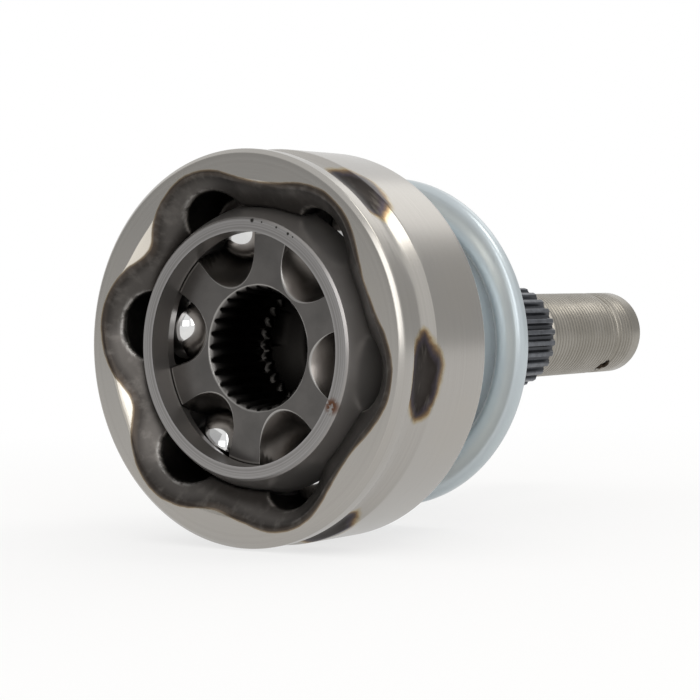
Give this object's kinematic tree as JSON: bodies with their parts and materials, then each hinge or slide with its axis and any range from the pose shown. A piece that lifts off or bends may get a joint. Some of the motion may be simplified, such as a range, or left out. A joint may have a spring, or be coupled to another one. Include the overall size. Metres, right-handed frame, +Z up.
{
  "type": "constant velocity joint",
  "caption": "Fixed ball-type constant velocity joint: bell with splined and threaded stub, dust shield, ball cage, splined inner race and bearing balls; the race tilts in the bell.",
  "frame": {"origin": "the joint's centre, where the tilt axis crosses the spin axis, in the middle of the inner race's splined bore", "axes": "+Y along the spin axis towards the stub's threaded end, the bell's mouth faces -Y, +Z up, +X to the right seen from the mouth"},
  "size_m": [0.0872, 0.1641, 0.0872],
  "materials": {
    "bell_steel": "fine turned and ground",
    "zinc_plate": "bright zinc plate",
    "cage_steel": "ground",
    "race_steel": "dark satin",
    "ball_steel": "mirror polished"
  },
  "bodies": {
    "housing": {"outer_race": "bell_steel", "dust_shield": "zinc_plate"},
    "race": {"inner_race": "race_steel"},
    "cage": {"ball_cage": "cage_steel"},
    "ball_1": {"ball_1": "ball_steel"},
    "ball_2": {"ball_2": "ball_steel"},
    "ball_3": {"ball_3": "ball_steel"},
    "ball_4": {"ball_4": "ball_steel"},
    "ball_5": {"ball_5": "ball_steel"},
    "ball_6": {"ball_6": "ball_steel"}
  },
  "joints": [
    {"name": "shaft_tilt", "type": "hinge", "parent": "housing", "child": "race", "pos_m": [0, 0, 0], "axis": [0.9848, 0, -0.1736], "range_deg": [-45, 45]},
    {"name": "cage_tilt", "type": "hinge", "parent": "housing", "child": "cage", "pos_m": [0, 0, 0], "axis": [0.9848, 0, -0.1736], "range_deg": [-22.5, 22.5]},
    {"name": "ball_1_roll", "type": "hinge", "parent": "housing", "child": "ball_1", "pos_m": [0, -0.0042, 0], "axis": [0.766, 0, -0.6428], "range_deg": [-19.8, 19.8]},
    {"name": "ball_2_roll", "type": "hinge", "parent": "housing", "child": "ball_2", "pos_m": [0, -0.0042, 0], "axis": [0.9397, 0, 0.342], "range_deg": [-19.8, 19.8]},
    {"name": "ball_3_roll", "type": "hinge", "parent": "housing", "child": "ball_3", "pos_m": [0, 0, 0], "axis": [0.9848, 0, -0.1736], "range_deg": [-22.5, 22.5]},
    {"name": "ball_4_roll", "type": "hinge", "parent": "housing", "child": "ball_4", "pos_m": [0, -0.0042, 0], "axis": [0.766, 0, -0.6428], "range_deg": [-19.8, 19.8]},
    {"name": "ball_5_roll", "type": "hinge", "parent": "housing", "child": "ball_5", "pos_m": [0, -0.0042, 0], "axis": [0.9397, 0, 0.342], "range_deg": [-19.8, 19.8]},
    {"name": "ball_6_roll", "type": "hinge", "parent": "housing", "child": "ball_6", "pos_m": [0, 0, 0], "axis": [0.9848, 0, -0.1736], "range_deg": [-22.5, 22.5]}
  ],
  "couplings": [
    {"joint": "cage_tilt", "follows": "shaft_tilt", "ratio": 0.5},
    {"joint": "ball_1_roll", "follows": "shaft_tilt", "ratio": 0.44},
    {"joint": "ball_2_roll", "follows": "shaft_tilt", "ratio": 0.44},
    {"joint": "ball_3_roll", "follows": "shaft_tilt", "ratio": 0.5},
    {"joint": "ball_4_roll", "follows": "shaft_tilt", "ratio": 0.44},
    {"joint": "ball_5_roll", "follows": "shaft_tilt", "ratio": 0.44},
    {"joint": "ball_6_roll", "follows": "shaft_tilt", "ratio": 0.5}
  ]
}
